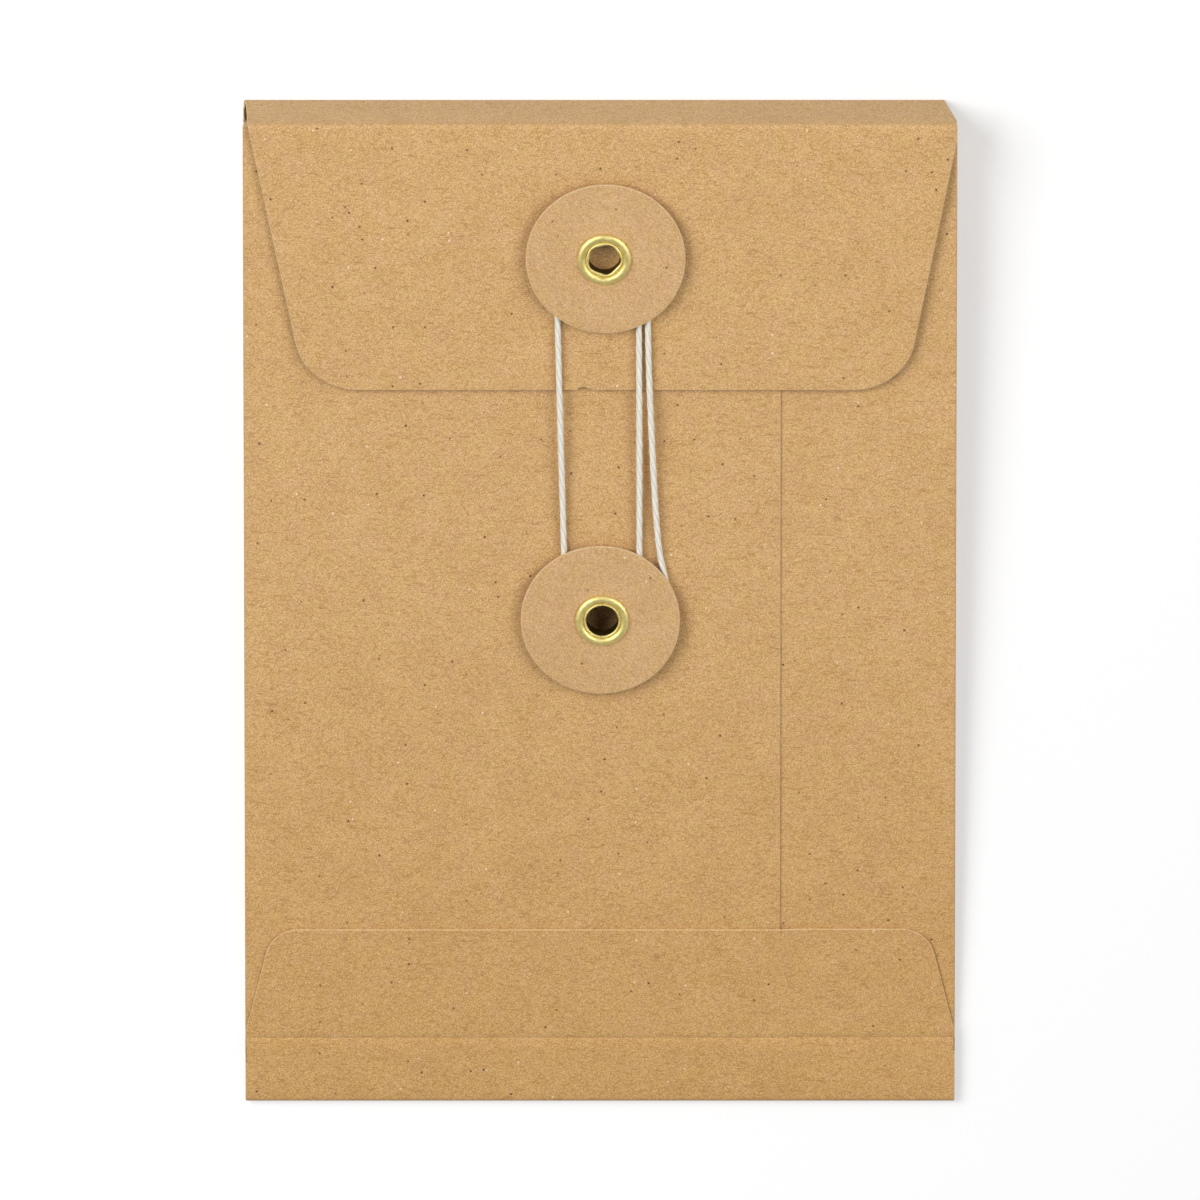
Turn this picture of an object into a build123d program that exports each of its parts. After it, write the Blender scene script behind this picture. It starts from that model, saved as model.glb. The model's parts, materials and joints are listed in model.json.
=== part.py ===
"""A kraft paper string tie envelope, lying on its back with its flap closed.

X runs across the envelope, Y from the bottom fold to the closing flap, Z up out of the front.
The origin is the middle of the back panel's outer face. The pocket is a thin wedge: flat at its
bottom fold, and held open at its mouth by a spine that stands between the back and the flap.
Places on the front are given as (x, s, w): across, up the sloping front from the bottom fold, and
out from the outer face of the left front panel.
"""

import os
from math import asin, atan2, cos, degrees, dist, hypot, pi, radians, sin, sqrt, tan

from build123d import *

# Paper and glue
PAPER = 0.30
GLUE = 0.08

# Pocket
BODY_W = 114.0
BODY_H = 170.0
BOTTOM_BEND_R = 0.85
BASE_W = 11.2
BOTTOM_FLAP_LEN = 18.9
BOTTOM_FLAP_SHOULDER = 1.0
BOTTOM_FLAP_TAPER = 4.35
BOTTOM_FLAP_R = 5.0
SEAM_INSET = 28.1
SEAM_LAP = 12.0
THROAT_DROP = 1.0
FRONT_END_GAP = 0.5
BACK_CORNER_CUT_X = 2.0
BACK_CORNER_CUT_Y = 3.3
GLUE_MARGIN = 2.0

# Side gussets
GUSSET_MOUTH_DEPTH = 3.9
GUSSET_MOUTH_DROP = 2.5
GUSSET_GAP = 0.05
GUSSET_STATIONS = 6

# Spine and closing flap
SPINE_W = 10.0
SPINE_LEAN = 0.9
SPINE_LEFT_INSET = 0.2
SPINE_RIGHT_INSET = 2.0
FLAP_LEFT_INSET = 0.8
FLAP_RIGHT_INSET = 0.0
FLAP_LEN = 45.5
FLAP_SHOULDER = 2.4
FLAP_LEFT_TAPER = 9.2
FLAP_RIGHT_TAPER = 8.3
FLAP_R = 9.7
FLAP_LIFT = 0.75
FOLD_GAP = 0.25

# Discs and eyelets
UPPER_X = 0.7
UPPER_DROP = 22.2
LOWER_X = 0.35
LOWER_DROP = 39.4
WASHER_D = 25.5
WASHER_T = 0.45
WASHER_EDGE = 0.1
UPPER_WASHER_OFFSET = 0.2
LOWER_WASHER_OFFSET = 0.3
BARREL_D = 5.6
EYELET_WALL = 0.25
EYELET_FLANGE_D = 8.7
EYELET_CROWN = 0.6
EYELET_ROLL_D = 7.8
EYELET_ROLL = 0.42
SEAT_GAP = 0.03
RUNNING_GAP = 0.06
PUNCH_GAP = 0.05

# String
STRING_D = 1.0
STRING_SIDES = 8
STRING_GAP = 0.1
KNOT_LEN = 1.6
KNOT_W = 1.8
HITCH_START = 1.1
EDGE_REACH = 2.7
STRAND_BEND_R = 200.0

half_w = BODY_W / 2
half_h = BODY_H / 2

# The back fold and the front fold lie in the middle of the paper, the spine between them
back_fold = (half_h - PAPER / 2, PAPER / 2)
spine_rise = sqrt(SPINE_W**2 - SPINE_LEAN**2)
front_fold = (back_fold[0] - SPINE_LEAN, back_fold[1] + spine_rise)
back_edge = back_fold[0] - FOLD_GAP

# The front slopes so that it leaves the bottom bend at a tangent and lies under the flap
front_outer = GLUE + PAPER
bend_y = -half_h + BOTTOM_BEND_R
bend_z = BOTTOM_BEND_R
flap_middle = FLAP_LIFT + PAPER / 2
rise_y = front_fold[0] - bend_y
rise_z = front_fold[1] - bend_z
above_bend = BOTTOM_BEND_R + flap_middle - front_outer
slope = atan2(rise_z, rise_y) - asin(above_bend / hypot(rise_y, rise_z))
datum_r = BOTTOM_BEND_R - front_outer
front = Plane(
    origin=(
        0,
        bend_y - datum_r * sin(slope) - BOTTOM_BEND_R * cos(slope),
        bend_z + datum_r * cos(slope) - BOTTOM_BEND_R * sin(slope),
    ),
    x_dir=(1, 0, 0),
    z_dir=(0, -sin(slope), cos(slope)),
)
fold_s = front.to_local_coords(Vector(0, *front_fold)).Y
throat_s = fold_s - THROAT_DROP
flap_edge_s = fold_s - FLAP_LEN
upper_s = fold_s - UPPER_DROP
lower_s = flap_edge_s - LOWER_DROP
front_end_s = BASE_W + FRONT_END_GAP
bottom_flap_s = BASE_W + BOTTOM_FLAP_LEN
seam_x = half_w - SEAM_INSET
flap_outer = FLAP_LIFT + PAPER
right_outer = -PAPER - GLUE
washer_lift = STRING_D + 2 * STRING_GAP


def front_yz(s, w):
    """The Y and Z of a place on the front."""
    place = front.from_local_coords(Vector(0, s, w))
    return place.Y, place.Z


# Back panel: one flat sheet, with the corner beside the spine's short end cut off
with BuildPart() as back_panel:
    with BuildSketch():
        with BuildLine():
            Polyline(
                (-half_w, bend_y),
                (half_w, bend_y),
                (half_w, back_edge - BACK_CORNER_CUT_Y),
                (half_w - BACK_CORNER_CUT_X, back_edge),
                (-half_w, back_edge),
                close=True,
            )
        make_face()
    extrude(amount=PAPER)

# Base panel: the bottom fold's round bend and the strip up to the lower crease
with BuildPart() as base_panel:
    bend_turn = degrees(slope) - 180
    with BuildSketch(Plane.YZ):
        with BuildLine():
            outer_bend = CenterArc((bend_y, bend_z), BOTTOM_BEND_R, 270, bend_turn)
            inner_bend = CenterArc((bend_y, bend_z), BOTTOM_BEND_R - PAPER, 270, bend_turn)
            Line(outer_bend @ 0, inner_bend @ 0)
            Polyline(
                outer_bend @ 1,
                front_yz(BASE_W, front_outer),
                front_yz(BASE_W, GLUE),
                inner_bend @ 1,
            )
        make_face()
    extrude(amount=half_w, both=True)

# Bottom flap: folds up over the front panels, with slanted sides and round corners
with BuildPart() as bottom_flap:
    with BuildSketch(front.offset(GLUE)) as bottom_flap_outline:
        with BuildLine():
            Polyline(
                (-half_w, BASE_W),
                (half_w, BASE_W),
                (half_w, BASE_W + BOTTOM_FLAP_SHOULDER),
                (half_w - BOTTOM_FLAP_TAPER, bottom_flap_s),
                (-half_w + BOTTOM_FLAP_TAPER, bottom_flap_s),
                (-half_w, BASE_W + BOTTOM_FLAP_SHOULDER),
                close=True,
            )
        make_face()
        fillet(bottom_flap_outline.vertices().group_by(Axis.Y)[-1], BOTTOM_FLAP_R)
    extrude(amount=PAPER)

# Front panels: the left one laps over the right one at the seam and carries the lower eyelet
front_len = throat_s - front_end_s
with BuildPart() as left_front_panel:
    with BuildSketch(front.offset(-PAPER)):
        with Locations((-half_w, front_end_s)):
            Rectangle(half_w + seam_x, front_len, align=Align.MIN)
        with Locations((LOWER_X, lower_s)):
            Circle(BARREL_D / 2 + PUNCH_GAP, mode=Mode.SUBTRACT)
    extrude(amount=PAPER)

with BuildPart() as right_front_panel:
    with BuildSketch(front.offset(right_outer - PAPER)):
        with Locations((seam_x - SEAM_LAP, front_end_s)):
            Rectangle(SEAM_INSET + SEAM_LAP, front_len, align=Align.MIN)
    extrude(amount=PAPER)

# Glue: a film down the lap of the seam, and one under the bottom flap that fills the seam's step
with BuildPart() as seam_glue:
    with BuildSketch(front.offset(right_outer)):
        with Locations((seam_x - SEAM_LAP + GLUE_MARGIN, front_end_s + GLUE_MARGIN)):
            Rectangle(SEAM_LAP - 2 * GLUE_MARGIN, front_len - 2 * GLUE_MARGIN, align=Align.MIN)
    extrude(amount=GLUE)

glue_s = front_end_s + GLUE_MARGIN
glue_len = bottom_flap_s - GLUE_MARGIN - glue_s
glue_inset = BOTTOM_FLAP_TAPER + BOTTOM_FLAP_R
with BuildPart() as bottom_glue:
    with BuildSketch(front):
        with Locations((-half_w + glue_inset, glue_s)):
            Rectangle(half_w + seam_x - glue_inset - GLUE_MARGIN, glue_len, align=Align.MIN)
    extrude(amount=GLUE)
    with BuildSketch(front.offset(right_outer)):
        with Locations((seam_x + GLUE_MARGIN, glue_s)):
            Rectangle(SEAM_INSET - glue_inset - GLUE_MARGIN, glue_len, align=Align.MIN)
    extrude(amount=GLUE - right_outer)

# Side gussets: one pleat each, nearly shut at the bottom and spread at the mouth
gusset_low_y = front_yz(front_end_s, 0)[0]
gusset_high_y = half_h - GUSSET_MOUTH_DROP


def gusset_gap(y, underside):
    """Lowest and highest Z between the back panel and a front panel's underside."""
    s = (y - front_yz(0, underside)[0]) / cos(slope)
    return PAPER + GUSSET_GAP, front_yz(s, underside)[1] - GUSSET_GAP


def gusset_outline(y, underside, side):
    """The pleat's section at y: two legs of even length that meet inside the pocket."""
    mouth_low, mouth_high = gusset_gap(gusset_high_y, underside)
    leg = hypot(GUSSET_MOUTH_DEPTH, (mouth_high - mouth_low) / 2)
    low, high = gusset_gap(y, underside)
    half_gap = (high - low) / 2
    depth = sqrt(leg**2 - half_gap**2)
    edge = PAPER * leg / depth
    nose = PAPER * leg / half_gap
    return [
        (side * half_w, low),
        (side * (half_w - depth), low + half_gap),
        (side * half_w, high),
        (side * half_w, high - edge),
        (side * (half_w - depth + nose), low + half_gap),
        (side * half_w, low + edge),
    ]


gusset_step = (gusset_high_y - gusset_low_y) / (GUSSET_STATIONS - 1)
gusset_ys = [gusset_low_y + gusset_step * i for i in range(GUSSET_STATIONS)]

with BuildPart() as left_gusset:
    for station_y in gusset_ys:
        with BuildSketch(Plane.XZ.offset(-station_y)):
            with BuildLine():
                Polyline(gusset_outline(station_y, -PAPER, -1), close=True)
            make_face()
    loft(ruled=True)

with BuildPart() as right_gusset:
    for station_y in gusset_ys:
        with BuildSketch(Plane.XZ.offset(-station_y)):
            with BuildLine():
                Polyline(gusset_outline(station_y, right_outer - PAPER, 1), close=True)
            make_face()
    loft(ruled=True)

# Top spine: stands on the back fold and leans a little over the pocket
flap_left = -half_w + FLAP_LEFT_INSET
flap_right = half_w - FLAP_RIGHT_INSET
spine = Plane(
    origin=(0, *back_fold),
    x_dir=(1, 0, 0),
    z_dir=(0, -spine_rise / SPINE_W, -SPINE_LEAN / SPINE_W),
)
with BuildPart() as top_spine:
    with BuildSketch(spine):
        with BuildLine():
            Polyline(
                (-half_w + SPINE_LEFT_INSET, FOLD_GAP),
                (half_w - SPINE_RIGHT_INSET, FOLD_GAP),
                (flap_right, SPINE_W - FOLD_GAP),
                (flap_left, SPINE_W - FOLD_GAP),
                close=True,
            )
        make_face()
    extrude(amount=PAPER / 2, both=True)

# Closing flap: slanted sides and round corners, punched for the upper eyelet
with BuildPart() as closing_flap:
    with BuildSketch(front.offset(FLAP_LIFT)) as flap_outline:
        with BuildLine():
            Polyline(
                (flap_left, fold_s - FOLD_GAP),
                (flap_right, fold_s - FOLD_GAP),
                (flap_right, fold_s - FLAP_SHOULDER),
                (flap_right - FLAP_RIGHT_TAPER, flap_edge_s),
                (flap_left + FLAP_LEFT_TAPER, flap_edge_s),
                close=True,
            )
        make_face()
        fillet(flap_outline.vertices().group_by(Axis.Y)[0], FLAP_R)
        with Locations((UPPER_X, upper_s)):
            Circle(BARREL_D / 2 + PUNCH_GAP, mode=Mode.SUBTRACT)
    extrude(amount=PAPER)

# Eyelets: a brass barrel with a domed flange over the disc and a roll behind the paper
barrel_r = BARREL_D / 2
bore_r = barrel_r - EYELET_WALL
flange_r = EYELET_FLANGE_D / 2
roll_r = EYELET_ROLL_D / 2
flange_seat = washer_lift + WASHER_T + RUNNING_GAP
crown_top = flange_seat + EYELET_CROWN
crown_r = (bore_r + flange_r) / 2
roll_top = -PAPER - SEAT_GAP


def eyelet_half_section():
    """Half of the eyelet's section, as radius and height above the punched paper."""
    rim = ThreePointArc(
        (flange_r, flange_seat),
        (crown_r, crown_top),
        (bore_r, flange_seat + EYELET_WALL),
    )
    Polyline(
        rim @ 0,
        (flange_r - EYELET_WALL, flange_seat),
        (barrel_r + EYELET_WALL, flange_seat + EYELET_WALL),
        (barrel_r, flange_seat + EYELET_WALL),
        (barrel_r, roll_top),
        (roll_r, roll_top),
        (crown_r, roll_top - EYELET_ROLL),
        (bore_r, roll_top - EYELET_ROLL),
        rim @ 1,
    )


upper_middle = front.from_local_coords(Vector(UPPER_X, upper_s, flap_outer))
lower_middle = front.from_local_coords(Vector(LOWER_X, lower_s, 0))
upper_axis = Plane(upper_middle, x_dir=front.x_dir, z_dir=front.z_dir)
lower_axis = Plane(lower_middle, x_dir=front.x_dir, z_dir=front.z_dir)

with BuildPart() as upper_eyelet:
    with BuildSketch(Plane(upper_middle, x_dir=front.x_dir, z_dir=-front.y_dir)):
        with BuildLine():
            eyelet_half_section()
        make_face()
    revolve(axis=Axis(upper_middle, front.z_dir))

with BuildPart() as lower_eyelet:
    with BuildSketch(Plane(lower_middle, x_dir=front.x_dir, z_dir=-front.y_dir)):
        with BuildLine():
            eyelet_half_section()
        make_face()
    revolve(axis=Axis(lower_middle, front.z_dir))

# Discs: punched paperboard, free to turn on the barrels above the wound string
with BuildPart() as upper_washer:
    with BuildSketch(upper_axis.offset(washer_lift)):
        with Locations((UPPER_WASHER_OFFSET, 0)):
            Circle(WASHER_D / 2)
        Circle(barrel_r + RUNNING_GAP, mode=Mode.SUBTRACT)
    extrude(amount=WASHER_T)
    chamfer(upper_washer.edges().filter_by(GeomType.CIRCLE).sort_by(SortBy.RADIUS)[-2:], WASHER_EDGE)

with BuildPart() as lower_washer:
    with BuildSketch(lower_axis.offset(washer_lift)):
        with Locations((-LOWER_WASHER_OFFSET, 0)):
            Circle(WASHER_D / 2)
        Circle(barrel_r + RUNNING_GAP, mode=Mode.SUBTRACT)
    extrude(amount=WASHER_T)
    chamfer(lower_washer.edges().filter_by(GeomType.CIRCLE).sort_by(SortBy.RADIUS)[-2:], WASHER_EDGE)

# String: hitched round the upper barrel, then wound clockwise in one layer round both discs
string_lift = STRING_GAP + STRING_D / 2
flap_string = flap_outer + string_lift
hitch_r = barrel_r + STRING_GAP + STRING_D / 2


def by_upper(x, s):
    """A point of the string under the upper disc."""
    return UPPER_X + x, upper_s + s, flap_string


def by_lower(x, s):
    """A point of the string under the lower disc."""
    return LOWER_X + x, lower_s + s, string_lift


def over_edge(x):
    """A point of the string just past the flap's edge."""
    return x, flap_edge_s - EDGE_REACH, flap_string


string_route = [
    (by_upper(HITCH_START, -hitch_r), 0),
    (by_upper(-hitch_r, -hitch_r), 3.4),
    (by_upper(-hitch_r, 3.6), 3.4),
    (by_upper(3.7, 3.6), 3.6),
    (by_upper(3.7, -7.2), 4.0),
    (by_upper(-5.1, -7.2), 4.3),
    (by_upper(-5.1, 5.2), 5.1),
    (by_upper(5.4, 5.2), 5.2),
    (over_edge(6.3), None),
    (by_lower(5.95, 12.0), None),
    (by_lower(5.9, -5.9), 5.8),
    (by_lower(-5.8, -5.9), 5.8),
    (by_lower(-6.1, 12.0), None),
    (over_edge(-6.45), None),
    (by_upper(-7.85, 7.4), 7.2),
    (by_upper(6.9, 7.4), 7.2),
    (by_upper(6.9, -11.3), None),
    (over_edge(8.0), None),
    (by_lower(8.85, 12.0), 15),
    (by_lower(10.25, 6.7), 15),
    (by_lower(10.65, -0.6), 9),
    (by_lower(7.65, -8.1), 8),
    (by_lower(0.15, -10.7), 9),
    (by_lower(-6.85, -8.0), 0),
]


def strand_bend(before, corner, after):
    """The gentle bend of a long strand, less where its two runs are short."""
    arriving, leaving = Vector(corner) - Vector(before), Vector(after) - Vector(corner)
    half_turn = radians(arriving.get_angle(leaving)) / 2
    return min(STRAND_BEND_R, 0.45 * min(arriving.length, leaving.length) / tan(half_turn))


string_points = [point for point, bend in string_route]
string_bends = [
    bend or strand_bend(*string_points[i - 1:i + 2])
    for i, (point, bend) in enumerate(string_route)
    if 0 < i < len(string_route) - 1
]
with BuildPart() as tie_string:
    with BuildLine(front) as route:
        FilletPolyline(string_points, radius=string_bends)
    with BuildSketch(Plane(origin=route.line @ 0, z_dir=route.line % 0)):
        RegularPolygon(STRING_D / 2, STRING_SIDES)
    sweep()

# Knot: ties off the hitch beside the upper barrel
knot_start = front.from_local_coords(Vector(by_upper(HITCH_START, -hitch_r)))
knot_plane = Plane(origin=knot_start, x_dir=front.y_dir, z_dir=front.x_dir)
with BuildPart() as string_knot:
    for reach, width in ((0, STRING_D), (0.3, KNOT_W), (0.7, KNOT_W), (1, STRING_D)):
        with BuildSketch(knot_plane.offset(reach * KNOT_LEN)):
            Ellipse(width / 2, STRING_D / 2)
    loft(ruled=True)


def least_gap(line, diameter, spacing):
    """The least clear gap between two stretches of a tube that are far apart along it."""
    count = int(line.length / spacing)
    points = [tuple(line @ (i / count)) for i in range(count + 1)]
    apart = int(2 * pi * diameter / spacing)
    gaps = [dist(points[i], q) for i in range(count) for q in points[i + apart:]]
    return min(gaps) - diameter


string_line = route.wires()[0]
tube_volume = string_line.length * STRING_SIDES * sin(2 * pi / STRING_SIDES) * STRING_D**2 / 8
print("string length", round(string_line.length, 1))
print("string bends", string_bends)
print("string gap to itself", round(least_gap(string_line, STRING_D, STRING_D / 3), 2))
print("string volume over section times length", round(tie_string.part.volume / tube_volume, 4))
print("slope", round(degrees(slope), 3))
print("back fold", back_fold)
print("front fold", front_fold)
print("upper eyelet", upper_middle)
print("lower eyelet", lower_middle)
print("eyelet axis", front.z_dir)

pieces = {
    "back_panel": back_panel,
    "base_panel": base_panel,
    "bottom_flap": bottom_flap,
    "left_front_panel": left_front_panel,
    "right_front_panel": right_front_panel,
    "seam_glue": seam_glue,
    "bottom_glue": bottom_glue,
    "left_gusset": left_gusset,
    "right_gusset": right_gusset,
    "top_spine": top_spine,
    "closing_flap": closing_flap,
    "upper_eyelet": upper_eyelet,
    "lower_eyelet": lower_eyelet,
    "upper_washer": upper_washer,
    "lower_washer": lower_washer,
    "tie_string": tie_string,
    "string_knot": string_knot,
}
os.makedirs("parts", exist_ok=True)
for name, piece in pieces.items():
    piece.part.label = name
    export_step(piece.part, f"parts/{name}.step")
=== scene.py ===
# %% [markdown]
# # A string tie envelope in kraft paper
#
# The imported solids already give this envelope its sizes and its joints. This lesson dresses them: each
# folded sheet, disc, eyelet and length of string is modelled again as the thin, soft or rolled thing that
# it is. The pocket's sheets, the eyelets and the string ride on the body that carries them, and each disc on
# its own, so that the discs still turn; the closing flap and the back fold are not set on a body.

import json
from math import asin, atan2, cos, exp, hypot, pi, radians, sin, sqrt

import bmesh
import bpy
from mathutils import Matrix, Vector, noise


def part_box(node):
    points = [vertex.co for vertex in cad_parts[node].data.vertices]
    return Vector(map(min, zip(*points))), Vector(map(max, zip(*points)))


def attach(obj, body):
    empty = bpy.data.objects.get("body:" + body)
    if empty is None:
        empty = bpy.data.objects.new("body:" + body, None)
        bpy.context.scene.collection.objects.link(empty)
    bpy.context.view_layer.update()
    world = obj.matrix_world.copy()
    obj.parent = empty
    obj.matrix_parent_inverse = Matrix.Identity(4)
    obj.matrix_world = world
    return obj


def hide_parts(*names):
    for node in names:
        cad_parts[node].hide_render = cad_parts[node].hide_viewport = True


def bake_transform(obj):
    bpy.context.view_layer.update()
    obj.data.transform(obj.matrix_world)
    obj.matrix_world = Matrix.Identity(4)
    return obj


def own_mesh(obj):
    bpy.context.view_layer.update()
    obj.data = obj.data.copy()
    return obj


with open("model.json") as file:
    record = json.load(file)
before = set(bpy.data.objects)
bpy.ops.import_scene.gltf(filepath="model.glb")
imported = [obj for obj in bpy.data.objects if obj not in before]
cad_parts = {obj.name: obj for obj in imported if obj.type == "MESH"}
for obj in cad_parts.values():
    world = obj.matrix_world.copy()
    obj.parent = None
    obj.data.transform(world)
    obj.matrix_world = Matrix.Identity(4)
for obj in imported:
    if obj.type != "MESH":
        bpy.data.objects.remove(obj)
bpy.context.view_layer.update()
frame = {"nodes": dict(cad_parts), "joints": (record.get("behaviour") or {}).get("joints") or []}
print("solids", sorted(frame["nodes"]))

# %% [markdown]
# The front of the envelope slopes: the pocket is flat at its bottom fold and stands about 10 mm open at its
# mouth. Places on the front are easiest to give as (x, s, w): across, up along the slope, and out from the
# paper. The discs turn about lines that stand square on the slope, so one of those joints tells where the
# slope is, and a matrix then carries such a place into the world.

# %% Find the sloping front
MM = 0.001
PAPER = 0.30
LOWER_DISC_S = 84.299

spin = {joint["name"]: joint for joint in frame["joints"]}
front_out = Vector(spin["lower_disc_spin"]["axis"])
front_up = Vector((0, front_out.z, -front_out.y))
slope = atan2(front_up.z, front_up.y)
lower_middle = Vector(spin["lower_disc_spin"]["pos_m"]) / MM
upper_middle = Vector(spin["upper_disc_spin"]["pos_m"]) / MM
front_start = lower_middle - LOWER_DISC_S * front_up - lower_middle.x * Vector((1, 0, 0))
FRONT = Matrix.Translation(front_start) @ Matrix.Rotation(slope, 4, "X")


def on_front(x, s, w):
    """A place on the front, as a place in the world. Both are in millimetres."""
    return FRONT @ Vector((x, s, w))


def place_of(world):
    """The other way round: the (x, s, w) of a place in the world."""
    return FRONT.inverted() @ Vector(world)


def front_in_metres(x, s, w):
    """The matrix that lays a piece, modelled flat at the origin in metres, on the front at (x, s, w)."""
    return Matrix.Scale(MM, 4) @ FRONT @ Matrix.Translation((x, s, w)) @ Matrix.Scale(1 / MM, 4)


UPPER_X, UPPER_S, FLAP_TOP = place_of(upper_middle)
LOWER_X, LOWER_S, _ = place_of(lower_middle)
print("slope in degrees", round(slope * 180 / pi, 3))
print("eyelets at x, s", [round(v, 2) for v in (UPPER_X, UPPER_S, LOWER_X, LOWER_S)])

# %% [markdown]
# The photograph looks down on the envelope, tipped a little so that the strip of paper along its top shows.
# A long lens far away keeps the sides parallel, as they are there. The camera comes first, because the
# string has to lie inside its view.

# %% Camera
TIP = radians(19.6)
FRAME_WIDTH = 1200 / 6.241
LENS = 1400
SENSOR = 36
AIM = Vector((0, 0.1, 0))

camera_data = bpy.data.cameras.new("camera")
camera_data.lens = LENS
camera_data.sensor_width = SENSOR
camera_data.clip_end = 20
distance = FRAME_WIDTH * LENS / SENSOR
camera = bpy.data.objects.new("camera", camera_data)
bpy.context.scene.collection.objects.link(camera)
camera.location = (AIM + distance * Vector((0, sin(TIP), cos(TIP)))) * MM
camera.rotation_euler = (-TIP, 0, 0)
bpy.context.scene.camera = camera
print("camera is", round(distance * MM, 2), "m away and sees", round(FRAME_WIDTH, 1), "mm")

# %% [markdown]
# A material starts from what the real stuff is. Colours are written as the hex values that a screen shows,
# and one function turns them to the linear light that the shader works in. One more small function adds a
# node, sets its properties and links its inputs, so that each material reads as a short list.

# %% Two helpers for materials
def linear(hex_colour):
    """A hex colour such as #d0a975 as linear red, green and blue, with alpha."""
    shown = [int(hex_colour[i:i + 2], 16) / 255 for i in (1, 3, 5)]
    light = [c / 12.92 if c <= 0.04045 else ((c + 0.055) / 1.055) ** 2.4 for c in shown]
    return (*light, 1.0)


def add(tree, kind, inputs, **settings):
    """Add a node to a tree, with its settings, and set or link its inputs."""
    made = tree.nodes.new("ShaderNode" + kind)
    for name, value in settings.items():
        setattr(made, name, value)
    for socket, value in inputs.items():
        if isinstance(value, bpy.types.NodeSocket):
            tree.links.new(value, made.inputs[socket])
        else:
            made.inputs[socket].default_value = value
    return made


def new_material(name):
    """A material with an empty node tree and its output."""
    material = bpy.data.materials.new(name)
    material.use_nodes = True
    material.node_tree.nodes.clear()
    return material, material.node_tree, material.node_tree.nodes.new("ShaderNodeOutputMaterial")


# %% [markdown]
# Kraft paper is unbleached wood pulp. Up close it is not one brown: there is a fine grain all over, thin
# fibres that mostly lie along the machine's direction, slow patches that lean to pink or to yellow, dark
# specks of bark and pale flecks. Real fibres are 0.02 mm thick, too fine for the render, so they are drawn
# about 0.2 mm thick and 1 to 2 mm long. The noise is a solid one, and a sheet that lies nearly along its
# lattice shows bands, so the lattice is tilted off the sheet. The lower half is painted a little darker and
# more brown, a painted shade for the light and sheen that fall off towards the bottom. The same list, with
# other colours, also makes the board of the discs and the paler fibres of a cut, painted paler still as a
# highlight where the edge catches the light.

# %% Kraft paper, its cut edge and paperboard
OFF_PLANE = (0.6, 0.4, 0.0)
GRAIN, CLOUD, LEAN = 0.19, 7.0, 2.6
FIBRE_LONG, FIBRE_THICK = 1.4, 0.24
FIBRE_WAYS = ((6, 0.6), (-38, 0.45), (52, 0.35))
# Painted shade: where the paper starts and stops growing darker towards the bottom, and the colour it is
# multiplied by.
PAINTED_SHADE_FROM_Y, PAINTED_SHADE_TO_Y, PAINTED_SHADE = 5.0, -85.0, "#f8f2e2"


def spots(tree, place, spacing, radius, part):
    """A mask of small round spots in a part of the cells that lie a spacing apart, in millimetres."""
    cells = add(tree, "TexVoronoi", {"Vector": place, "Scale": 1 / spacing, "Randomness": 1.0})
    near = add(tree, "MapRange", {
        "Value": cells.outputs["Distance"], 1: 1.4 * radius / spacing, 2: 0.6 * radius / spacing})
    lot = add(tree, "SeparateColor", {0: cells.outputs["Color"]})
    some = add(tree, "Math", {0: lot.outputs[0], 1: part}, operation="LESS_THAN")
    return add(tree, "Math", {0: near.outputs[0], 1: some.outputs[0]}, operation="MULTIPLY").outputs[0]


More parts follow.
